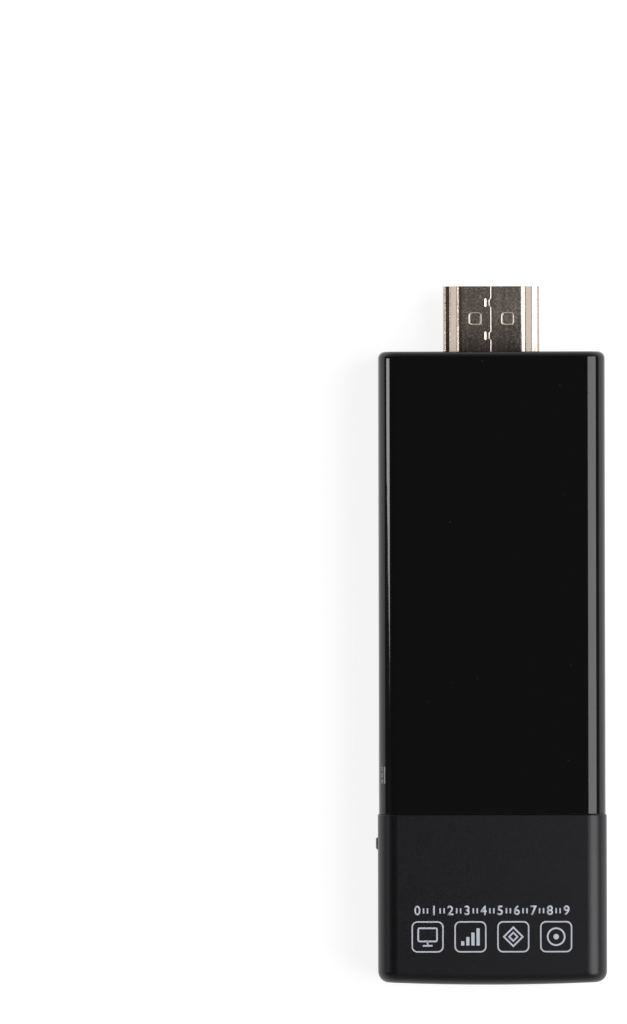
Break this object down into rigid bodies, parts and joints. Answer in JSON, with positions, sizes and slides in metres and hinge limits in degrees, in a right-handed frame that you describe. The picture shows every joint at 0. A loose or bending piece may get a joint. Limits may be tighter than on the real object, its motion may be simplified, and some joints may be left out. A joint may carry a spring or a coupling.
{
  "type": "streaming stick",
  "caption": "Slim bar-shaped media player that plugs straight into a television's video socket, with a glossy body, a matt end cap and a side reset button.",
  "frame": {"origin": "centre of the plain resting face, midway along the housing without its plug", "axes": "+Y out of the video plug, +Z out of the printed face, +X to the right of the printed face"},
  "size_m": [0.0333, 0.1008, 0.013],
  "materials": {
    "gloss_black": "polished moulded plastic",
    "matt_black": "fine matt moulded texture",
    "button_grey": "satin moulded plastic",
    "plug_plating": "nickel plated sheet",
    "port_plating": "tin plated sheet",
    "contact_gold": "gold flashed contacts",
    "insulator_black": "glass filled moulding",
    "jack_black": "moulded plastic",
    "board_mask": "green solder mask",
    "screw_steel": "zinc plated",
    "chip_black": "moulded package",
    "pad_blue": "soft silicone pad",
    "sink_metal": "extruded and anodised",
    "foam_grey": "closed cell foam",
    "ceramic_tan": "fired ceramic body",
    "ferrite_grey": "moulded ferrite",
    "can_steel": "drawn tin plated can",
    "antenna_white": "ceramic antenna",
    "module_mask": "dark blue solder mask",
    "dome_steel": "spring steel",
    "lamp_white": "lamp package",
    "pipe_clear": "clear moulded plastic",
    "print_ink": "screen-printed pale ink"
  },
  "bodies": {
    "housing": {"rear_cover": "gloss_black", "front_cover": "gloss_black", "end_cap": "matt_black", "plug_shell": "plug_plating", "plug_insulator": "insulator_black", "plug_upper_contacts": "contact_gold", "plug_lower_contacts": "contact_gold", "main_board": "board_mask", "board_screws": "screw_steel", "processor": "chip_black", "thermal_pad": "pad_blue", "heat_sink": "sink_metal", "heat_sink_foam": "foam_grey", "memory_chips": "chip_black", "flash_chip": "chip_black", "regulators": "chip_black", "power_inductors": "ferrite_grey", "crystals": "can_steel", "protection_arrays": "chip_black", "capacitors": "ceramic_tan", "wireless_board": "module_mask", "wireless_chip": "chip_black", "wireless_shield": "can_steel", "chip_antenna": "antenna_white", "host_port_shell": "port_plating", "host_port_insulator": "insulator_black", "host_port_contacts": "contact_gold", "power_port_shell": "port_plating", "power_port_insulator": "insulator_black", "power_port_contacts": "contact_gold", "jack_body": "jack_black", "jack_contacts": "contact_gold", "switch_base": "chip_black", "switch_cover": "can_steel", "switch_dome": "dome_steel", "status_lamp": "lamp_white", "light_pipe": "pipe_clear"},
    "button": {"reset_button": "button_grey", "switch_plunger": "button_grey"}
  },
  "joints": [
    {"name": "button_press", "type": "slide", "parent": "housing", "child": "button", "axis": [1, 0, 0], "range_m": [0, 0.00025], "stiffness_N_per_m": 400, "deforming": ["switch_dome"]}
  ]
}
